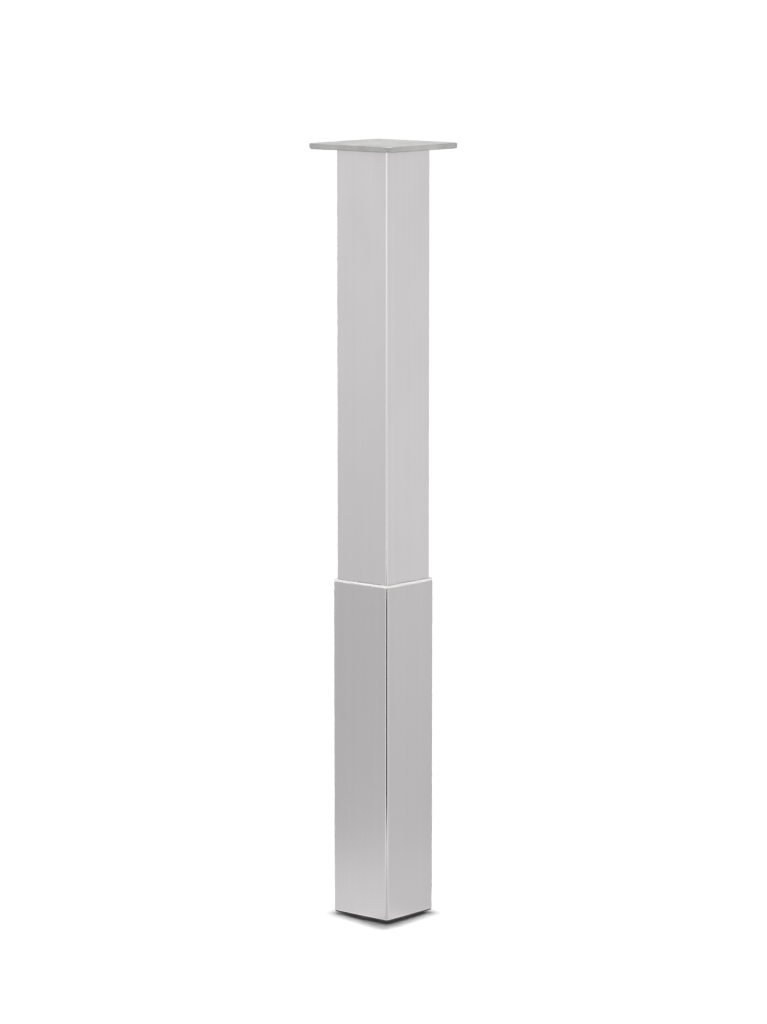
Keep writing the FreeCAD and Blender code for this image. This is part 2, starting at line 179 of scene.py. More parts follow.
# %% [markdown]
# ## Brushed steel
#
# The tubes are ground lengthways on an abrasive belt. That leaves fine grooves along the leg, so the
# metal looks soft across the grain and sharp along it. Three things make it here: a noise pattern
# stretched more than a hundred times along Z for the grooves, a broader one for the bands that a belt
# leaves, and anisotropy, which spreads each reflection sideways. Real grooves in the mesh would be too
# many, and finer than a pixel. The rolled corners see less of the belt and are rubbed more in use, so
# they are smoother. A corner is found from the place alone: it is where x and y are both large. The saw
# cuts at the ends were deburred, and a narrow rim there is painted brighter in the colour: bare deburred
# metal, with a painted highlight on top.

# %% Corners, and rims with a painted highlight, of a square tube
corner_core = 0.3  # of a corner's width, from where it is as smooth as it gets
# The rims at both ends are painted brighter than the face: a painted highlight on bare deburred metal.
lower_rim_highlight = (0.0006, 0.0012)  # bright up to the first, as the face from the second
upper_rim = (0.0003, 0.0007)


def corner_share(tree, x, y, half, width):
    """How much a place belongs to a tube's corner: 0 on the face, 1 on the corner."""
    inside = maths(tree, "MINIMUM", maths(tree, "ABSOLUTE", x), maths(tree, "ABSOLUTE", y))
    return ramp(tree, inside, half - width, half - corner_core * width)


def painted_rim_highlight(tree, z, bottom, top):
    """How much a place belongs to the deburred rims at the two ends, which get a painted highlight."""
    lower = ramp(tree, maths(tree, "SUBTRACT", z, bottom), *lower_rim_highlight, 1.0, 0.0)
    upper = ramp(tree, maths(tree, "SUBTRACT", top, z), *upper_rim, 1.0, 0.0)
    return maths(tree, "MAXIMUM", lower, upper)


print(f"bright rims: {1000 * lower_rim_highlight[0]:.1f} mm below and {1000 * upper_rim[0]:.1f} mm above")

# %% Grain of the steel
groove = (0.0004, 0.0004, 0.05)  # width in x and y, length in z
groove_depth = 0.00001
groove_share = 0.45  # of the grain, the rest is bands
belt_band = (0.004, 0.004, 0.6)
use_mark = (0.03, 0.03, 0.06)
use_range = (0.35, 0.75)
use_rough = (-0.02, 0.04)  # what marks of use add to the roughness
tone_spread = 0.02
rough_spread = 0.04
# How much brighter the rims are painted, as a highlight.
rim_highlight_gain = 1.35


def steel_colour(tree, where, grooves, rim, tone):
    """Darker and lighter grain, and rims painted brighter as a highlight."""
    bands = noise(tree, where, belt_band, detail=2)
    grain = maths(tree, "ADD", maths(tree, "MULTIPLY", grooves, groove_share),
                  maths(tree, "MULTIPLY", bands, 1 - groove_share))
    dark, light = shade(tone, 1 - tone_spread), shade(tone, 1 + tone_spread)
    steel = tint(tree, uneven(tree, grain, 0.0, 1.0), dark, light)
    # Painted highlight: on the rims the colour is lifted above the steel's own tone.
    return tint(tree, rim, steel, shade(tone, rim_highlight_gain))


def steel_roughness(tree, where, grooves, corner, face_rough, corner_rough):
    """Rougher and smoother grooves, with marks of use on the faces and smoother corners."""
    marks = noise(tree, where, use_mark, detail=4)
    ground = uneven(tree, grooves, face_rough - rough_spread, face_rough + rough_spread)
    ground = maths(tree, "ADD", ground, ramp(tree, marks, *use_range, *use_rough, "LINEAR"))
    return blend(tree, corner, ground, corner_rough)


print(f"grooves {1000 * groove[0]:.1f} mm wide and {1000 * groove[2]:.0f} mm long")

# %% Steel of the two tubes
tube_corner = 0.0020
sleeve_corner = 0.0025
sideways_spread = 0.5


def brushed_steel(name, node, tone, face_rough, corner_rough, corner_width):
    """Steel of a square tube, ground along Z, with smoother corners."""
    made, tree = new_finish(name, metal=1.0)
    where, x, y, z = places(tree)
    low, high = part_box(node)
    grooves = noise(tree, where, groove, detail=4)
    # Mask of the painted rim highlight at both ends.
    rim = painted_rim_highlight(tree, z, low.z, high.z)
    corner = corner_share(tree, x, y, (high.x - low.x) / 2, corner_width)
    colour = steel_colour(tree, where, grooves, rim, tone)
    rough = steel_roughness(tree, where, grooves, corner, face_rough, corner_rough)
    shader = set_surface(tree, colour, rough, grooves, groove_depth, strength=0.5)
    plug(tree, shader, "Anisotropic", sideways_spread)
    sideways = add(tree, "Tangent", {}, direction_type="RADIAL", axis="Z")
    plug(tree, shader, "Tangent", sideways.outputs[0])
    return made


finishes = {}
finishes["upper_tube"] = brushed_steel(
    "tube_steel", "upper_tube", (0.641, 0.6215, 0.6265), face_rough=0.36, corner_rough=0.14,
    corner_width=tube_corner)
finishes["lower_sleeve"] = brushed_steel(
    "sleeve_steel", "lower_sleeve", (0.5625, 0.546, 0.5495), face_rough=0.34, corner_rough=0.06,
    corner_width=sleeve_corner)
print("brushed steel for:", ", ".join(finishes))

# %% [markdown]
# ## Cast, plated and rolled metal
#
# The mounting plate is a die casting that was tumbled, so it is matt with a fine, rounded unevenness. The
# screws are zinc plated and brighter, with faint warm and cool clouds. The clamp plate inside is plain
# rolled steel with dark mill scale under a film of oil. One metal with three roughness values would look
# like one metal, so each finish is a short function of its own, with its own patterns.

# %% Cast metal
pit = 0.0006
pit_depth = 0.00004
casting_cloud = 0.018
casting_tones = (0.88, 1.06)
casting_rough = (0.44, 0.60)


def cast_metal(name, tone):
    """Tumbled die casting: matt, with a soft unevenness and lighter and darker clouds."""
    made, tree = new_finish(name, metal=1.0)
    where, *_ = places(tree)
    pits = noise(tree, where, pit)
    clouds = ramp(tree, noise(tree, where, casting_cloud, detail=4), *noise_range)
    colour = tint(tree, clouds, *[shade(tone, share) for share in casting_tones])
    set_surface(tree, colour, uneven(tree, pits, *casting_rough), pits, pit_depth, strength=0.6)
    return made


finishes["cast_plate"] = cast_metal("cast_metal", (0.56, 0.555, 0.55))
print(f"cast metal, with pits of {1000 * pit:.1f} mm")

# %% Zinc plating
plating_cloud = 0.004
plating_cloud_range = (0.35, 0.65)
cool_cloud = (0.93, 0.96, 1.02)  # what a cloud does to red, green and blue
warm_cloud = (1.05, 1.02, 0.96)
handling_mark = 0.0005
handling_depth = 0.00001
plating_rough = (0.20, 0.34)


def plated_metal(name, tone):
    """Bright zinc plating, with faint warm and cool clouds and fine handling marks."""
    made, tree = new_finish(name, metal=1.0)
    where, *_ = places(tree)
    clouds = ramp(tree, noise(tree, where, plating_cloud, detail=4), *plating_cloud_range)
    marks = noise(tree, where, handling_mark, detail=2)
    cool = [channel * share for channel, share in zip(tone, cool_cloud)]
    warm = [channel * share for channel, share in zip(tone, warm_cloud)]
    rough = uneven(tree, marks, *plating_rough)
    set_surface(tree, tint(tree, clouds, cool, warm), rough, marks, handling_depth, strength=0.5)
    return made


finishes["plated_steel"] = plated_metal("zinc_plating", (0.60, 0.60, 0.59))
print(f"zinc plating, with clouds of {1000 * plating_cloud:.0f} mm")

# %% Rolled steel
mill_scale = (0.012, 0.012, 0.03)
mill_scale_range = (0.35, 0.7)
mill_scale_tone = 0.55  # of the bare metal's
mill_scale_depth = 0.00003
rolled_rough = (0.32, 0.55)


def rolled_metal(name, tone):
    """Plain rolled steel under a film of oil: dark clouds of mill scale and a low shine."""
    made, tree = new_finish(name, metal=1.0)
    where, *_ = places(tree)
    scale = noise(tree, where, mill_scale, detail=5)
    bare = ramp(tree, scale, *mill_scale_range)
    colour = tint(tree, bare, shade(tone, mill_scale_tone), tone)
    set_surface(tree, colour, uneven(tree, scale, *rolled_rough), scale, mill_scale_depth, strength=0.5)
    return made


finishes["plain_steel"] = rolled_metal("rolled_steel", (0.34, 0.33, 0.32))
print("finishes so far:", len(finishes))

# %% [markdown]
# ## Plastics, rubber, fibre and felt
#
# Mouldings carry the fine matt texture of a spark-eroded mould, and they are rubbed paler where they have
# been handled. The collar, the black end pieces, the nylon slides and the rubber buffer differ only in
# colour, shine and grain, so one function makes them all. The clamp's liner and the pad under the foot
# are pressed from short fibres. Hair strands could show each fibre, but a flat pad needs no more than its
# surface: two noise patterns, one stretched along x and one along y, cross as such fibres do.

# %% Moulded plastic and rubber
rubbed_patch = 0.009
rubbed_range = (0.5, 0.8)
mould_rough_spread = 0.07


def moulding(name, tone, rough, grain_size, grain_depth, scuff):
    """Moulded plastic or rubber with a fine matt mould texture and paler scuffs."""
    made, tree = new_finish(name, metal=0.0)
    where, *_ = places(tree)
    grain = noise(tree, where, grain_size, detail=2)
    rubbed = ramp(tree, noise(tree, where, rubbed_patch, detail=5), *rubbed_range)
    paler = [channel + (1 - channel) * scuff for channel in tone]
    matt = uneven(tree, grain, rough - mould_rough_spread, rough + mould_rough_spread)
    set_surface(tree, tint(tree, rubbed, tone, paler), matt, grain, grain_depth, strength=0.7)
    return made


finishes["collar_plastic"] = moulding(
    "pale_collar", (0.80, 0.79, 0.785), rough=0.45, grain_size=0.0004, grain_depth=0.00002, scuff=0.1)
finishes["black_plastic"] = moulding(
    "black_moulding", (0.018, 0.018, 0.019), rough=0.5, grain_size=0.0003, grain_depth=0.00003, scuff=0.03)
finishes["slide_nylon"] = moulding(
    "natural_nylon", (0.74, 0.71, 0.62), rough=0.4, grain_size=0.0006, grain_depth=0.00001, scuff=0.08)
finishes["buffer_rubber"] = moulding(
    "soft_rubber", (0.03, 0.03, 0.03), rough=0.75, grain_size=0.0005, grain_depth=0.00003, scuff=0.05)
print("finishes so far:", len(finishes))

# %% Fibre and felt
fibre_range = (0.4, 0.75)
fibre_slenderness = 6
fibre_tones = (0.6, 1.4)
fibre_rough = 0.95


def pressed_fibre(name, tone, fibre, depth):
    """Felt or fibre board: short fibres in two tones, with no shine."""
    made, tree = new_finish(name, metal=0.0)
    where, *_ = places(tree)
    length = fibre * fibre_slenderness
    lengthways = noise(tree, where, (length, fibre, fibre))
    crossways = noise(tree, where, (fibre, length, fibre))
    fibres = maths(tree, "MAXIMUM", lengthways, crossways)
    raised = ramp(tree, fibres, *fibre_range)
    colour = tint(tree, raised, *[shade(tone, share) for share in fibre_tones])
    set_surface(tree, colour, fibre_rough, fibres, depth, strength=0.9)
    return made


finishes["liner_fibre"] = pressed_fibre("fibre_liner", (0.13, 0.09, 0.06), fibre=0.0004, depth=0.00005)
finishes["pad_felt"] = pressed_fibre("grey_felt", (0.10, 0.10, 0.10), fibre=0.0003, depth=0.0001)
print("finishes:", ", ".join(finishes))

# %% [markdown]
# ## Pieces that stand for the engineering ones
#
# Each piece made here takes the place of one engineering piece. It rides on the same body, so that it
# moves with the same joint, and its finish is picked by its name or by the same material slot. One
# function does all of this. It also gives the piece its finish, smooths the shading up to a chosen angle,
# and prints whether the mesh is closed, because an open mesh can't be printed, weighed or cut.

# %% Put a piece in place of an engineering one
smooth_up_to = radians(35)
bodies = frame["record"]["behaviour"]["bodies"]
body_of_node = {node: body for body, nodes in bodies.items() for node in nodes}
slot_of_node = {node: shown.data.materials[0].name for node, shown in frame["nodes"].items()}


def new_object(name, data):
    """Object in the scene, made of a mesh, a camera or a lamp."""
    made = bpy.data.objects.new(name, data)
    bpy.context.scene.collection.objects.link(made)
    return made


def new_mesh(name, shape):
    """Mesh of a shape, which is then used up."""
    mesh = bpy.data.meshes.new(name)
    shape.to_mesh(mesh)
    shape.free()
    return mesh


def put_in_place(shape, node):
    """Turns a shape into the piece that stands for an engineering one."""
    open_edges = sum(not edge.is_manifold for edge in shape.edges)
    mesh = new_mesh(node + "_shape", shape)
    mesh.shade_smooth()
    mesh.set_sharp_from_angle(angle=smooth_up_to)
    piece = new_object(node + "_piece", mesh)
    even = piece.modifiers.new("even_shading", "WEIGHTED_NORMAL")
    even.keep_sharp = True
    slot = slot_of_node[node]
    mesh.materials.append(finishes[node] if node in finishes else finishes[slot])
    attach(piece, body_of_node[node])
    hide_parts(node)
    print(f"{piece.name}: {len(mesh.polygons)} faces, {open_edges} open edges, on {body_of_node[node]}")


print("material slots:", ", ".join(sorted(set(slot_of_node.values()))))

# %% [markdown]
# ## Broken edges
#
# No real edge is perfectly sharp. Mouldings, stampings and castings all have a small radius, and that
# radius is what catches the light. These pieces already have the right shape: the plate with its ribbed
# spigot, the collar with its tongues, the cap, plug, pads, slider, liner, clamp plate and buffer. They
# could be built again from nothing, but copying them is exact. The copy's flat triangles are merged back
# into whole faces, and every edge that turns by more than thirty degrees is bevelled. The plate's upper
# rim, which shows most, gets more.

# %% Soften the edges of the flat and moulded pieces
flat_within = radians(0.5)
edge_from = radians(30)
same_point = 1e-6
edge_radius = {
    "mounting_plate": 0.0002,
    "guide_collar": 0.0003,
    "end_cap": 0.0002,
    "slide_plug": 0.0003,
    "slide_pads": 0.0003,
    "slot_slider": 0.0002,
    "clamp_liner": 0.0001,
    "clamp_plate": 0.0003,
    "stop_buffer": 0.0003,
}
edge_bevel_steps = 2
rim_radius = {"mounting_plate": 0.0006}
rim_bevel_steps = 4
rim_width = 0.004


def rounded(made, edges, radius, steps):
    """Rounds the chosen edges of a mesh."""
    bmesh.ops.bevel(made, geom=edges, offset=radius, segments=steps, profile=0.5, affect="EDGES",
                    clamp_overlap=False)


def on_upper_rim(edge, high):
    """Whether an edge lies on the outline of the uppermost face."""
    return all(v.co.z > high.z - same_point and max(abs(v.co.x), abs(v.co.y)) > high.x - rim_width
               for v in edge.verts)


def softened(node):
    """Copy of an engineering piece with rounded edges, and a wider radius on an upper rim."""
    made = bmesh.new()
    made.from_mesh(frame["nodes"][node].data)
    bmesh.ops.remove_doubles(made, verts=made.verts, dist=same_point)
    bmesh.ops.dissolve_limit(made, angle_limit=flat_within, verts=made.verts, edges=made.edges)
    sharp = [edge for edge in made.edges if edge.calc_face_angle(0) > edge_from]
    if node in rim_radius:
        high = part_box(node)[1]
        rim = [edge for edge in sharp if on_upper_rim(edge, high)]
        sharp = [edge for edge in sharp if edge not in rim]
        rounded(made, rim, rim_radius[node], rim_bevel_steps)
        sharp = [edge for edge in sharp if edge.is_valid]
    rounded(made, sharp, edge_radius[node], edge_bevel_steps)
    return made


for node in edge_radius:
    put_in_place(softened(node), node)

# %% [markdown]
# ## Rings and skins
#
# The tubes, screws, glide and nut are all built the same way: a row of rings, and a skin of four-sided
# faces from ring to ring. A ring can be a circle, a hexagon or a square with round corners. A solid bar
# is closed at both ends, and a hollow one runs up the outside, over the edge, and down the inside to meet
# itself again. Blender's ready-made cylinders and cubes would need as much work again to give them walls
# and edges.

# %% Rings and skins
corner_steps = 10
round_steps = 96


def skin(rings, hollow=False):
    """Faces through rings of points. A hollow skin joins the last ring to the first one."""
    made = bmesh.new()
    rows = [[made.verts.new(p) for p in ring] for ring in rings]
    pairs = list(zip(rows, rows[1:]))
    if hollow:
        pairs.append((rows[-1], rows[0]))
    for lower, upper in pairs:
        for i in range(len(lower)):
            after = (i + 1) % len(lower)
            made.faces.new((lower[i], lower[after], upper[after], upper[i]))
    if not hollow:
        made.faces.new(rows[0])
        made.faces.new(rows[-1])
    bmesh.ops.recalc_face_normals(made, faces=made.faces)
    return made


def shaped_ring(radius_at, z):
    """Ring whose radius depends on the turn, given as a share of a full turn."""
    ring = []
    for i in range(round_steps):
        share = i / round_steps
        radius = radius_at(share)
        turn = 2 * pi * share
        ring.append((radius * cos(turn), radius * sin(turn), z))
    return ring


def round_ring(radius, z):
    """Circle at one level."""
    return shaped_ring(lambda share: radius, z)


def square_ring(side, corner, z):
    """Square with round corners at one level."""
    reach = side / 2 - corner
    ring = []
    for quarter, (side_x, side_y) in enumerate(((1, 1), (-1, 1), (-1, -1), (1, -1))):
        for step in range(corner_steps + 1):
            turn = radians(90 * (quarter + step / corner_steps))
            x = side_x * reach + corner * cos(turn)
            y = side_y * reach + corner * sin(turn)
            ring.append((x, y, z))
    return ring


print("points in a ring:", len(round_ring(1, 0)), "round,", len(square_ring(2, 0.1, 0)), "square")

# %% [markdown]
# ## Tubes and cutters
#
# Both tubes are cold-rolled square sections with small round corners, cut to length and deburred. Their
# slot and their screw holes are cut afterwards, as in the workshop, with a boolean that subtracts a
# cutter's shape and is then applied. Leaving the boolean as a live modifier would work too, but its
# cutters would then have to stay in the scene.

# %% Square tubes
edge_steps = 3
sharpest = 0.0003  # no corner inside a tube is sharper


def square_tube(node, corner, wall, edge):
    """Square tube that fills an engineering piece's box, with its ends deburred inside and out."""
    low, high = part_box(node)
    side = high.x - low.x
    turns = [radians(90 * i / edge_steps) for i in range(edge_steps + 1)]
    curve = [(edge * (1 - cos(t)), edge * sin(t)) for t in turns]
    rings = [(inset, low.z + edge - rise) for inset, rise in reversed(curve)]
    rings += [(inset, high.z - edge + rise) for inset, rise in curve]
    rings += [(wall - inset, high.z - edge + rise) for inset, rise in reversed(curve)]
    rings += [(wall - inset, low.z + edge - rise) for inset, rise in curve]
    squares = [square_ring(side - 2 * inset, max(corner - inset, sharpest), z) for inset, z in rings]
    return skin(squares, hollow=True)


print("rings in a tube:", 4 * (edge_steps + 1))

# %% Cutters
cutter_reach = 0.002  # past the middle of a wall, to both sides


def lay_on_rear(made, y, z, x=0.0):
    """Turns a shape made along Z to point along +Y, and moves it to its place."""
    made.transform(Matrix.Translation((x, y, z)) @ Matrix.Rotation(radians(-90), 4, "X"))
    return made


def slot_ring(width, length, z):
    """Round-ended slot, its length along Y."""
    reach = (length - width) / 2
    ring = []
    for x, y, _ in round_ring(width / 2, z):
        ring.append((x, y + copysign(reach, y if abs(y) > same_point else x), z))
    return ring


def through_rear(rings_at, y, z, x=0.0):
    """Cutter that passes through a wall on the rear side."""
    return lay_on_rear(skin([rings_at(-cutter_reach), rings_at(cutter_reach)]), y, z, x)


def hole_through(diameter, y, z, x=0.0):
    """Cutter for a round hole in a wall on the rear side."""
    return through_rear(lambda level: round_ring(diameter / 2, level), y, z, x)


def carve(shape, cutters):
    """Subtracts cutters from a shape and returns the result."""
    blank, *tools = [new_object("carving", new_mesh("carving", part)) for part in [shape, *cutters]]
    for tool in tools:
        cut = blank.modifiers.new("cut", "BOOLEAN")
        cut.object = tool
        cut.operation = "DIFFERENCE"
        cut.solver = "EXACT"
    bpy.context.view_layer.update()
    carved = bmesh.new()
    carved.from_object(blank, bpy.context.evaluated_depsgraph_get())
    for used in [blank, *tools]:
        bpy.data.meshes.remove(used.data)
    return carved


print("a cutter reaches", cutter_reach, "m to both sides")

# %% [markdown]
# ## The upper tube
#
# This is the slimmer tube, with the mounting plate at its upper end. In its rear wall it has a long slot,
# in which the clamp's slider runs, and two holes for the screws that hold the plate's spigot. The slot
# has to be as long as the slider and its travel together. It could be measured on the engineering model,
# but worked out from the slider and the joint's range it stays right when the travel changes.

# %% The upper tube
tube_wall = 0.0015
tube_edge = 0.00025
slide_gap = 0.0002
stop_gap = 0.0003
plate_hole = 0.0056

tube_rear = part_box("upper_tube")[1].y
slider_low, slider_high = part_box("slot_slider")
travel = next(joint["range_m"][1] for joint in frame["joints"] if joint["name"] == "height_slide")
slot_width = slider_high.x - slider_low.x + 2 * slide_gap
slot_top = slider_high.z + stop_gap
slot_bottom = slider_low.z - stop_gap - travel
slot_length = slot_top - slot_bottom
screws_low, screws_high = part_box("plate_screws")
screw_level = (screws_low.z + screws_high.z) / 2
screw_apart = screws_high.x - screws_low.x - (screws_high.z - screws_low.z)
screw_places = (-screw_apart / 2, screw_apart / 2)

tube = square_tube("upper_tube", tube_corner, tube_wall, tube_edge)
in_wall = tube_rear - tube_wall / 2
slot_level = (slot_top + slot_bottom) / 2
cutters = [through_rear(lambda z: slot_ring(slot_width, slot_length, z), in_wall, slot_level)]
cutters += [hole_through(plate_hole, in_wall, screw_level, x) for x in screw_places]
put_in_place(carve(tube, cutters), "upper_tube")
print(f"slot {1000 * slot_length:.1f} mm long for {1000 * travel:.0f} mm of travel")

# %% [markdown]
# ## The lower sleeve
#
# The sleeve stands on the foot and holds the upper tube. It is made like the tube, a little larger, and
# the clamp screws pass through two holes in its rear wall. Typed heights would do for the holes, but read
# from the engineering screws they can't miss them.

# %% The lower sleeve
sleeve_wall = 0.0015
sleeve_edge = 0.0004
clamp_hole = 0.0086

clamps = ("clamp_screw_upper", "clamp_screw_lower")
clamp_levels = [(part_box(clamp)[0].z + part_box(clamp)[1].z) / 2 for clamp in clamps]

sleeve = square_tube("lower_sleeve", sleeve_corner, sleeve_wall, sleeve_edge)
in_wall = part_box("lower_sleeve")[1].y - sleeve_wall / 2
cutters = [hole_through(clamp_hole, in_wall, level) for level in clamp_levels]
put_in_place(carve(sleeve, cutters), "lower_sleeve")

# %% [markdown]
# ## Turned, six-sided and threaded shapes
#
# Screws, washers, nut, stud and glide come off a lathe, a header or a thread roller. Their outline is a
# row of (radius, height) points. Every corner of the outline gets a small curve, each point of it becomes
# a ring, and the rings get a skin. A hexagon is a ring whose radius depends on the turn. A thread is the
# same thing with one change: the radius depends on the height too, so that the crest climbs by one pitch
# in each full turn. That makes it right-handed, like nearly all screws. A bump map could fake the thread,
# but not its outline.

# %% Turned shapes and hexagons
curve_steps = 3
longest_trim = 0.45  # of the shorter line at a corner, for the corner's curve
hex_face = 0.475  # radius of the round end face, of the width across flats
hex_break = 0.985  # how much of the sharp corner is left
hex_chamfer = tan(radians(30))
hex_chamfer_steps = 4


def rounded_outline(points, reach):
    """Outline with a small curve in every corner between the first and the last point."""
    smooth = [points[0]]
    for before, corner, after in zip(points, points[1:], points[2:]):
        back, tip, on = Vector(before), Vector(corner), Vector(after)
        trim = min(reach, longest_trim * min((back - tip).length, (on - tip).length))
        start = tip + (back - tip).normalized() * trim
        end = tip + (on - tip).normalized() * trim
        for step in range(curve_steps + 1):
            t = step / curve_steps
            smooth.append(tuple(start.lerp(tip, t).lerp(tip.lerp(end, t), t)))
    return smooth + [points[-1]]


def turned_rings(points, reach):
    """Rings of a lathe-turned piece from its outline."""
    return [round_ring(radius, z) for radius, z in rounded_outline(points, reach)]


def hex_radius(across, share):
    """Distance from the middle of a hexagon to its outline."""
    return across / 2 / cos(radians(360 * share % 60 - 30))


def hex_rings(across, bottom, top):
    """Rings of a hexagon with both ends turned off at thirty degrees and its corners broken."""
    face = hex_face * across
    corner = across / sqrt(3) * hex_break
    rises = [(corner - face) * hex_chamfer * i / hex_chamfer_steps for i in range(hex_chamfer_steps + 1)]
    rings = []
    for z in [bottom + rise for rise in rises] + [top - rise for rise in reversed(rises)]:
        limit = min(corner, face + min(z - bottom, top - z) / hex_chamfer)
        rings.append(shaped_ring(lambda t: min(hex_radius(across, t), limit), z))
    return rings


print("rings in a hexagon:", len(hex_rings(0.013, 0, 0.005)))

# %% Threads
rings_per_pitch = 10
thread_depth = 0.613  # of the pitch, from crest to root
crest_half = 1 / 16  # half the width of the crest, of the pitch
root_from = 3 / 8  # where the root begins, of the pitch


def below_crest(share, z, pitch):
    """How far below its crest a thread is: 0 on the crest, 1 in the root."""
    off_crest = abs((z / pitch - share) % 1.0 - 0.5)
    return min(max((off_crest - crest_half) / (root_from - crest_half), 0.0), 1.0)


def threaded_rings(crest, pitch, bottom, top, tip, point_down):
    """Rings of a thread with a chamfered point at one end, which runs out at the other."""
    count = round((top - bottom) / pitch * rings_per_pitch)
    rings = []
    for k in range(count + 1):
        z = bottom + (top - bottom) * k / count
        from_point, from_end = (z - bottom, top - z) if point_down else (top - z, z - bottom)
        depth = thread_depth * pitch * min(from_end / pitch, 1.0)
        limit = crest - max(tip - from_point, 0.0)
        rings.append(shaped_ring(lambda t: min(crest - depth * below_crest(t, z, pitch), limit), z))
    return rings


print(f"a thread of 1.5 mm pitch is {1.5 * thread_depth:.2f} mm deep")

# %% [markdown]
# ## Button-head screws
#
# Two small screws hold the tube on the plate's spigot, and two larger ones draw the clamp plate against
# the tube. All four have a low domed head with a hexagon socket. The dome is part of a sphere that meets
# the flat round the socket, so its radius follows from the head's width and height. The socket is the
# last rings of the same skin, going down into the head, so no boolean is needed and the mesh stays
# closed.

# %% Shape of a screw
screw_edge = 0.0001
socket_break = 1.04  # radius of the socket's round mouth, of the hexagon's corners
dome_steps = 8
screw_tip = 0.0006
plate_screw = dict(diameter=0.005, pitch=0.0008, length=0.010, head=0.0095, head_height=0.00275, rim=0.0008,
                   crown=0.005, key=0.003, key_depth=0.0016)
clamp_screw = dict(diameter=0.008, pitch=0.00125, head=0.014, head_height=0.0044, rim=0.0012,
                   crown=0.008, key=0.005, key_depth=0.0026)


def button_screw(diameter, pitch, length, head, head_height, rim, crown, key, key_depth):
    """Screw along Z, with its domed hex-socket head standing on zero."""
    rings = threaded_rings(diameter / 2, pitch, -length, 0.0, screw_tip, True)
    rings.append(round_ring(head / 2 - screw_edge, 0.0))
    rings.append(round_ring(head / 2, screw_edge))
    wide = (head - crown) / 2
    tall = head_height - rim
    dome = (wide ** 2 + tall ** 2) / (2 * tall)
    steepest = atan2(wide, dome - tall)
    for step in range(dome_steps + 1):
        lean = steepest * (1 - step / dome_steps)
        level = head_height - dome + dome * cos(lean)
        rings.append(round_ring(crown / 2 + dome * sin(lean), level))
    rings.append(round_ring(key / sqrt(3) * socket_break, head_height))
    for level in (head_height - 2 * screw_edge, head_height - key_depth):
        rings.append(shaped_ring(lambda t: hex_radius(key, t), level))
    return skin(rings)


print("domes of", dome_steps + 1, "rings")

# %% The four screws
def joined(shapes):
    """Several shapes as one."""
    whole = bmesh.new()
    for shape in shapes:
        mesh = new_mesh("joining", shape)
        whole.from_mesh(mesh)
        bpy.data.meshes.remove(mesh)
    return whole


pair = [lay_on_rear(button_screw(**plate_screw), tube_rear, screw_level, x) for x in screw_places]
put_in_place(joined(pair), "plate_screws")
for clamp, level in zip(clamps, clamp_levels):
    clamp_low, clamp_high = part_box(clamp)
    seat = clamp_high.y - clamp_screw["head_height"]
    screw = button_screw(**clamp_screw, length=seat - clamp_low.y)
    put_in_place(lay_on_rear(screw, seat, level), clamp)

# %% [markdown]
# ## Washers
#
# A stamped washer under each clamp screw spreads its load on the sleeve's wall. A cylinder with a hole cut
# in it would have sharp rims. Here the outline goes once round the washer's section, starting in the
# middle of its lower face, so that all four corners get their small curve, and the skin closes on itself
# like a tyre.

# %% Washers
washer_edge = 0.0003
for washer, level in zip(("clamp_washer_upper", "clamp_washer_lower"), clamp_levels):
    washer_low, washer_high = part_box(washer)
    thick = washer_high.y - washer_low.y
    outside = (washer_high.x - washer_low.x) / 2
    inside = clamp_hole / 2
    middle = (outside + inside) / 2
    outline = [(middle, 0), (outside, 0), (outside, thick), (inside, thick), (inside, 0), (middle, 0)]
    disc = skin(turned_rings(outline, washer_edge)[:-1], hollow=True)
    put_in_place(lay_on_rear(disc, washer_low.y, level), washer)

# %% [markdown]
# ## The levelling stud and its nut
#
# A threaded stud stands in a round glide and screws into a nut that is held in the end cap. A spanner
# fits on the stud's hexagon, from the side, when the leg is lifted. The nut's thread is cut with the same
# function and in the same place as the stud's, a little wider, so crest and root fit each other whatever
# the height. Each could be put together from a cylinder, a hexagon and a thread, but one skin from end to
# end leaves no seams: foot, neck, hexagon and thread on the stud, outside and bore on the nut.

# %% Stud
foot_pitch = 0.0015
foot_thread = 0.010
stud_tip = 0.001
stud_foot_height = 0.002
stud_hex = 0.013
stud_hex_height = 0.005
foot_edge = 0.0003

stud_low, stud_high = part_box("foot_stud")
glide_low, glide_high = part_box("foot_glide")
stud_foot = stud_high.x - stud_low.x
foot_top = stud_low.z + stud_foot_height
hex_bottom = glide_high.z + stop_gap
hex_top = hex_bottom + stud_hex_height

outline = [(stud_foot / 4, stud_low.z), (stud_foot / 2, stud_low.z), (stud_foot / 2, foot_top),
           (foot_thread / 2, foot_top), (foot_thread / 2, hex_bottom)]
rings = turned_rings(outline, foot_edge)
rings += hex_rings(stud_hex, hex_bottom, hex_top)
rings += threaded_rings(foot_thread / 2, foot_pitch, hex_top, stud_high.z, stud_tip, False)
put_in_place(skin(rings), "foot_stud")

# %% Nut
thread_play = 0.00006

nut_low, nut_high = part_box("foot_nut")
nut_height = nut_high.z - nut_low.z
nut_root = foot_thread / 2 + thread_play
nut_mouth = foot_thread / 2 + foot_edge
rings = hex_rings(nut_high.y - nut_low.y, nut_low.z, nut_high.z)
levels = round(nut_height / foot_pitch * rings_per_pitch)
depth = thread_depth * foot_pitch
for k in range(levels, -1, -1):
    z = nut_low.z + nut_height * k / levels
    sink = nut_mouth - min(z - nut_low.z, nut_high.z - z)
    rings.append(shaped_ring(lambda t: max(nut_root - depth * below_crest(t, z, foot_pitch), sink), z))
put_in_place(skin(rings, hollow=True), "foot_nut")

# %% [markdown]
# ## The glide and its pad
#
# The glide is a black moulded disc, round so that it can turn on the stud's foot, which sits inside it. It
# is one turned outline that starts in the socket for the stud and ends in the seat for the pad, so no
# cutter is needed. The pad is cut from felt with a punch. Felt gives way under a punch, so the cut is
# never quite round. A plain disc would look like plastic, and a small wave in the radius mends that.

# %% Glide
glide_shoulder = 0.0015
glide_bevel = 0.0004
glide_play = 0.0003
pad_press = 0.00005

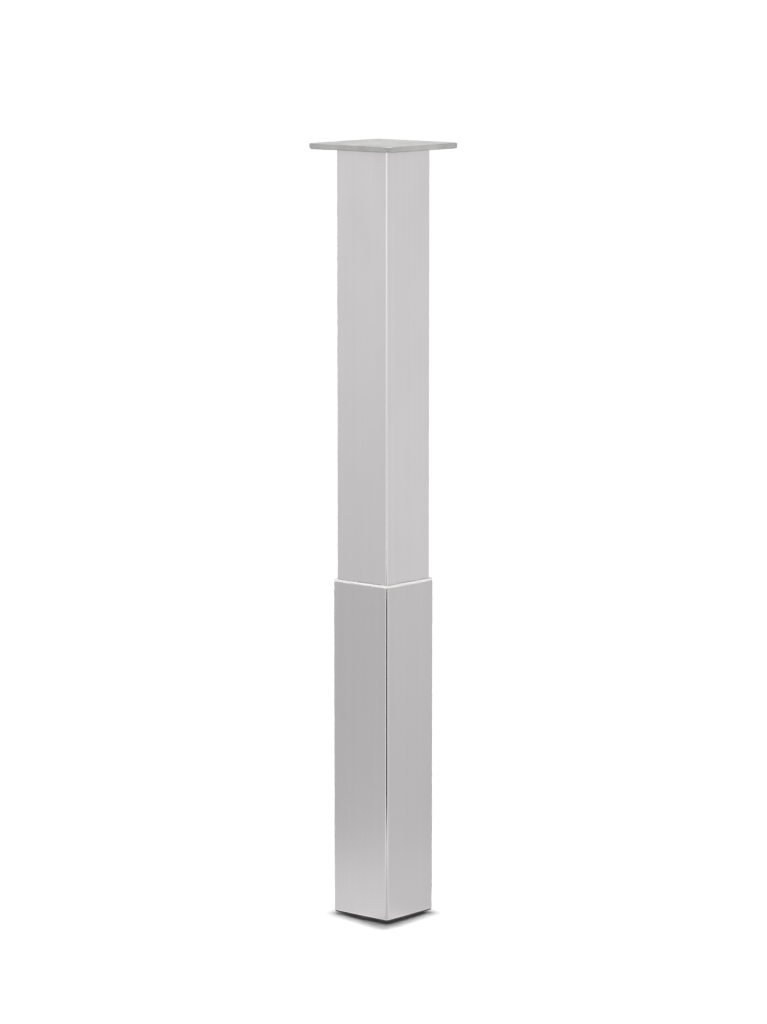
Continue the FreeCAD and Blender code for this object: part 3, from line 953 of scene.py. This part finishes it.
pad_low, pad_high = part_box("glide_pad")
socket = stud_foot / 2 + glide_play
socket_roof = foot_top + slide_gap
neck = foot_thread / 2 + glide_play
pad_radius = (pad_high.x - pad_low.x) / 2
pad_seat = pad_radius + pad_press
glide_radius = (glide_high.x - glide_low.x) / 2
outline = [(socket / 2, stud_low.z), (socket, stud_low.z), (socket, socket_roof), (neck, socket_roof),
           (neck, glide_high.z), (glide_radius - glide_shoulder, glide_high.z),
           (glide_radius, glide_high.z - glide_shoulder), (glide_radius, glide_low.z + glide_bevel),
           (glide_radius - glide_bevel, glide_low.z), (pad_seat, glide_low.z), (pad_seat, pad_high.z),
           (pad_seat / 2, pad_high.z)]
put_in_place(skin(turned_rings(outline, foot_edge)), "foot_glide")

# %% Pad
felt_edge = 0.0003
felt_wander = 0.00012
felt_waves = 7
felt_twist = 40  # turns of the wave through the pad, so that no two rings are alike


def felt_ring(radius, z):
    """Ring of cut felt, which is never quite round."""
    twist = felt_twist * z / pad_high.z

    def cut(share):
        wave = sin(2 * pi * (felt_waves * share + twist))
        return radius - felt_wander * (1 + wave)

    return shaped_ring(cut, z)


outline = [(pad_radius / 2, pad_low.z), (pad_radius, pad_low.z), (pad_radius, pad_high.z),
           (pad_radius / 2, pad_high.z)]
put_in_place(skin([felt_ring(radius, z) for radius, z in rounded_outline(outline, felt_edge)]), "glide_pad")

# %% [markdown]
# ## The camera
#
# The camera stands about 3.7 metres away, a little higher than the leg, and looks slightly down at one of
# its corners, so that two faces show. A long lens keeps the upright edges almost parallel. A camera could
# also be pointed by a constraint, but plain angles are easier to compare with a photograph. These come
# from fitting the leg's edges to one.

# %% Camera
camera_azimuth = radians(40.8147)
camera_pitch = radians(8.4251)
camera_distance = 3.72074
camera_height = 0.92561
camera_aside = 0.000168
camera_lens = 145.16

camera_data = bpy.data.cameras.new("camera")
camera_data.lens = camera_lens
camera = new_object("camera", camera_data)
towards_camera = Vector((sin(camera_azimuth), -cos(camera_azimuth), 0))
rightwards = Vector((cos(camera_azimuth), sin(camera_azimuth), 0))
camera.location = towards_camera * camera_distance + rightwards * camera_aside
camera.location.z = camera_height
camera.rotation_euler = (radians(90) - camera_pitch, 0, camera_azimuth)
bpy.context.scene.camera = camera
bpy.context.scene.view_settings.view_transform = "Standard"
print("camera at", [round(x, 3) for x in camera.location])

# %% [markdown]
# ## What the metal mirrors
#
# Metal only looks like metal when it has something to mirror. A studio gives it cards and pools of light,
# laid out on the floor where the metal sees them and the camera doesn't. Real cards could be modelled,
# but they would also change the light on the floor. Here the floor answers rays that come off the metal
# with a brightness of its own, which depends on distance and direction from the leg: white close to the
# foot, a dark card in front that draws the fine line along the sleeve's corner, bright pools beside and
# beyond it that draw the bright line along the tube's corner, a floor that is greyer to the left than to
# the right, and a dim floor behind that keeps the outline of the leg from melting into the white.

# %% Left and right of the leg
close_by = (0.18, 0.40)  # metres from the leg
left_tones = (0.80, 0.745, 1.07)  # near, middle and far
left_near = (0.6, 1.2)
left_far = (1.4, 5.0)
left_close = 1.12
right_tones = (0.90, 1.02)  # near and far
right_far = (0.8, 2.4)
right_close = 1.0
left_to_right = (-0.6, 0.6)  # radians off the front


def distance_along(tree, where, direction):
    """Distance in one direction from the leg's axis."""
    return add(tree, "VectorMath", {0: where, 1: direction}, operation="DOT_PRODUCT").outputs["Value"]


def three_tones(tree, away, tones, near, far):
    """Brightness that goes from a near level to a middle one, and on to a far one."""
    outer = blend(tree, ramp(tree, away, *far), *tones[1:])
    return blend(tree, ramp(tree, away, *near), tones[0], outer)


def side_tones(tree, away, turn, close):
    """Brightness to the left and to the right of the leg."""
    left = three_tones(tree, away, left_tones, left_near, left_far)
    left = blend(tree, close, left, left_close)
    right = blend(tree, ramp(tree, away, *right_far), *right_tones)
    right = blend(tree, close, right, right_close)
    return blend(tree, ramp(tree, turn, *left_to_right), left, right)


print("levels far away:", left_tones[-1], "to the left and", right_tones[-1], "to the right")

# %% The card, the pools and the floor behind
card_edge = (radians(24), radians(30))
card_start = (0.30, 0.63)
card_end = (1.96, 2.0)
card_level = 0.06
card_close_share = 0.3
pool_edge = (radians(54), radians(64))
pool_edge_beyond = (radians(28), radians(38))
pool_level = 1.4
pool_close = 1.2
pool_tones = (1.65, 1.02, 1.36)  # beyond the card: near, middle and far
pool_near = (2.1, 2.55)
pool_far = (2.8, 6.5)
behind_edge = (radians(115), radians(150))
behind_level = 0.5


def front_card(tree, away, off_front, beyond):
    """How much of the card lies at a place: faint close to the leg, and none beyond its end."""
    card = ramp(tree, off_front, *card_edge, 1.0, 0.0)
    card = maths(tree, "MULTIPLY", card, ramp(tree, away, *card_start, card_close_share, 1.0))
    return maths(tree, "MULTIPLY", card, maths(tree, "SUBTRACT", 1.0, beyond))


def studio_floor(tree):
    """Brightness of the floor by distance and direction from the leg."""
    where, *_ = places(tree)
    away = add(tree, "VectorMath", {0: where}, operation="LENGTH").outputs["Value"]
    ahead = distance_along(tree, where, towards_camera)
    turn = maths(tree, "ARCTAN2", distance_along(tree, where, rightwards), ahead)
    off_front = maths(tree, "ABSOLUTE", turn)
    close = ramp(tree, away, *close_by, 1.0, 0.0)
    beyond = ramp(tree, away, *card_end)
    pool = blend(tree, beyond, ramp(tree, off_front, *pool_edge, 1.0, 0.0),
                 ramp(tree, off_front, *pool_edge_beyond, 1.0, 0.0))
    bright = blend(tree, close, pool_level, pool_close)
    bright = blend(tree, beyond, bright, three_tones(tree, away, pool_tones, pool_near, pool_far))
    level = blend(tree, pool, side_tones(tree, away, turn, close), bright)
    level = blend(tree, ramp(tree, off_front, *behind_edge), level, behind_level)
    return blend(tree, front_card(tree, away, off_front, beyond), level, card_level)


print(f"the card lies {card_start[1]} to {card_end[0]} m in front of the leg")

# %% [markdown]
# ## The floor
#
# The leg stands on a plain white floor. The floor is lit like any surface, so it takes the leg's shadow,
# which is what sets the leg down on it. The shadow of soft studio light would spread too far, so for rays
# that come straight from the camera a glow lifts the paint to white outside a small zone round the foot.
# Further away the lit paint is white by itself, and the glow fades there, because a background brighter
# than white would eat into the edges of the leg. From below, the floor is clear, so that the foot can be
# looked at.

# %% Glow round the foot
floor_glow = 0.55
shade_ahead = 0.081  # metres from the axis to the front tip of the shade zone
shade_aside = 0.052  # and to its side tips
glow_edge = (0.73, 1.06)  # where the glow begins and is full, in zone sizes
fade_edge = (1.6, 2.4)  # where it begins to fade and ends
fade_left = 0.08


def floor_glow_level(tree):
    """Glow of the floor by the place on it."""
    where, *_ = places(tree)
    ahead = maths(tree, "ABSOLUTE", distance_along(tree, where, towards_camera / shade_ahead))
    aside = maths(tree, "ABSOLUTE", distance_along(tree, where, rightwards / shade_aside))
    zone = maths(tree, "ADD", ahead, aside)
    lift = ramp(tree, zone, *glow_edge, 0.0, floor_glow, "LINEAR")
    return maths(tree, "MULTIPLY", lift, ramp(tree, zone, *fade_edge, 1.0, fade_left))


print(f"the shade reaches {1000 * shade_ahead:.0f} mm ahead and {1000 * shade_aside:.0f} mm aside")

# %% Finish of the floor
floor_paint = (0.9, 0.9, 0.9, 1)


def floor_finish():
    """White paint that takes the shadow, and a studio for the metal to mirror."""
    made = bpy.data.materials.new("white_floor")
    made.use_nodes = True
    tree = made.node_tree
    tree.nodes.clear()
    path = add(tree, "LightPath", {})
    paint = add(tree, "BsdfDiffuse", {"Color": floor_paint})
    seen_glow = maths(tree, "MULTIPLY", path.outputs["Is Camera Ray"], floor_glow_level(tree))
    glow = add(tree, "Emission", {"Strength": seen_glow})
    lit = add(tree, "AddShader", {0: paint.outputs[0], 1: glow.outputs[0]})
    mirrored = maths(tree, "MAXIMUM", path.outputs["Is Glossy Ray"], path.outputs["Is Transmission Ray"])
    studio = add(tree, "Emission", {"Strength": studio_floor(tree)})
    above = add(tree, "MixShader", {0: mirrored, 1: lit.outputs[0], 2: studio.outputs[0]})
    from_below = add(tree, "NewGeometry", {}).outputs["Backfacing"]
    clear = add(tree, "BsdfTransparent", {})
    shown = add(tree, "MixShader", {0: from_below, 1: above.outputs[0], 2: clear.outputs[0]})
    add(tree, "OutputMaterial", {"Surface": shown.outputs[0]})
    return made


white_floor = floor_finish()
print("floor finish of", len(white_floor.node_tree.nodes), "nodes")

# %% Floor
floor_half = 40.0
floor_corners = [(x * floor_half, y * floor_half, 0) for x, y in ((-1, -1), (1, -1), (1, 1), (-1, 1))]
floor_mesh = bpy.data.meshes.new("floor")
floor_mesh.from_pydata(floor_corners, [], [(0, 1, 2, 3)])
floor_mesh.materials.append(white_floor)
floor = new_object("floor", floor_mesh)
print("floor", 2 * floor_half, "m square")

# %% [markdown]
# ## The sky
#
# The world is the studio's white room. The camera sees it as plain white. The surfaces are lit by a weak
# and even part of it, so that colours come out about as they were written. The metal sees a room that
# darkens upwards, with a soft box straight above, which gives the top of the plate and the screw heads
# their shine.

# %% Sky
sky_level = 0.12
room_levels = (1.0, 0.35)  # at the horizon and higher up
room_heights = (0.15, 0.55)
box_level = 0.75
box_heights = (0.86, 0.93)

world = bpy.data.worlds.new("studio")
bpy.context.scene.world = world
world.use_nodes = True
sky = world.node_tree
sky.nodes.clear()
path = add(sky, "LightPath", {})
height = add(sky, "SeparateXYZ", {0: add(sky, "TexCoord", {}).outputs["Generated"]}).outputs[2]
room = ramp(sky, height, *room_heights, *room_levels)
soft_box = ramp(sky, height, *box_heights, 0.0, box_level)
mirrored = add(sky, "Background", {"Strength": maths(sky, "ADD", room, soft_box)})
soft = add(sky, "Background", {"Strength": sky_level})
white = add(sky, "Background", {"Strength": 1.0})
for part in (mirrored, soft, white):
    part.inputs["Color"].default_value = (1, 1, 1, 1)
seen = maths(sky, "MAXIMUM", path.outputs["Is Camera Ray"], path.outputs["Is Transmission Ray"])
behind = add(sky, "MixShader", {0: seen, 1: soft.outputs[0], 2: white.outputs[0]})
off_metal = path.outputs["Is Glossy Ray"]
studio = add(sky, "MixShader", {0: off_metal, 1: behind.outputs[0], 2: mirrored.outputs[0]})
add(sky, "OutputWorld", {"Surface": studio.outputs[0]})
print("sky ready, level", sky_level, "on surfaces")

# %% [markdown]
# ## The lamps
#
# One sun lamp shines straight down, so the shadow lies right under the foot. It leaves upright faces dark.
# The metal doesn't mind, because it mirrors the studio, but the pale collar would turn grey. More light
# from all round would fade the shadow too, so four narrow spots, one for each side, light the collar
# alone. They are kept out of reflections, so the metal round it shows no hot spots.

# %% Lamps
lamp_level = 1.0
lamp_softness = radians(4)
spot_levels = (13.5, 12.5)  # front and rear, left and right
spot_rise = radians(35)
spot_distance = 0.8
spot_cone = radians(14)
spot_blend = 0.5
spot_radius = 0.05

overhead_data = bpy.data.lights.new("overhead", "SUN")
overhead_data.energy = lamp_level * pi  # a sun of pi lights white paint to 1
overhead_data.angle = lamp_softness
new_object("overhead", overhead_data)

collar_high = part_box("guide_collar")[1]
towards_front_spot = Vector((0, -cos(spot_rise), sin(spot_rise)))
for quarter in range(4):
    spot_data = bpy.data.lights.new(f"collar_spot_{quarter + 1}", "SPOT")
    spot_data.energy = spot_levels[quarter % 2]
    spot_data.spot_size = spot_cone
    spot_data.spot_blend = spot_blend
    spot_data.shadow_soft_size = spot_radius
    spot = new_object(spot_data.name, spot_data)
    outwards = Matrix.Rotation(radians(90 * quarter), 3, "Z") @ towards_front_spot
    spot.location = Vector((0, 0, collar_high.z)) + outwards * spot_distance
    spot.rotation_euler = (-outwards).to_track_quat("-Z", "Y").to_euler()
    spot.visible_glossy = False

# %% [markdown]
# ## A last look at the pieces
#
# The engineering pieces that were replaced are hidden. The list of those that are still shown is
# printed, and it should be empty.

# %% Pieces still shown
left_over = [node for node, shown in frame["nodes"].items() if not shown.hide_render]
print("engineering pieces still shown:", left_over)
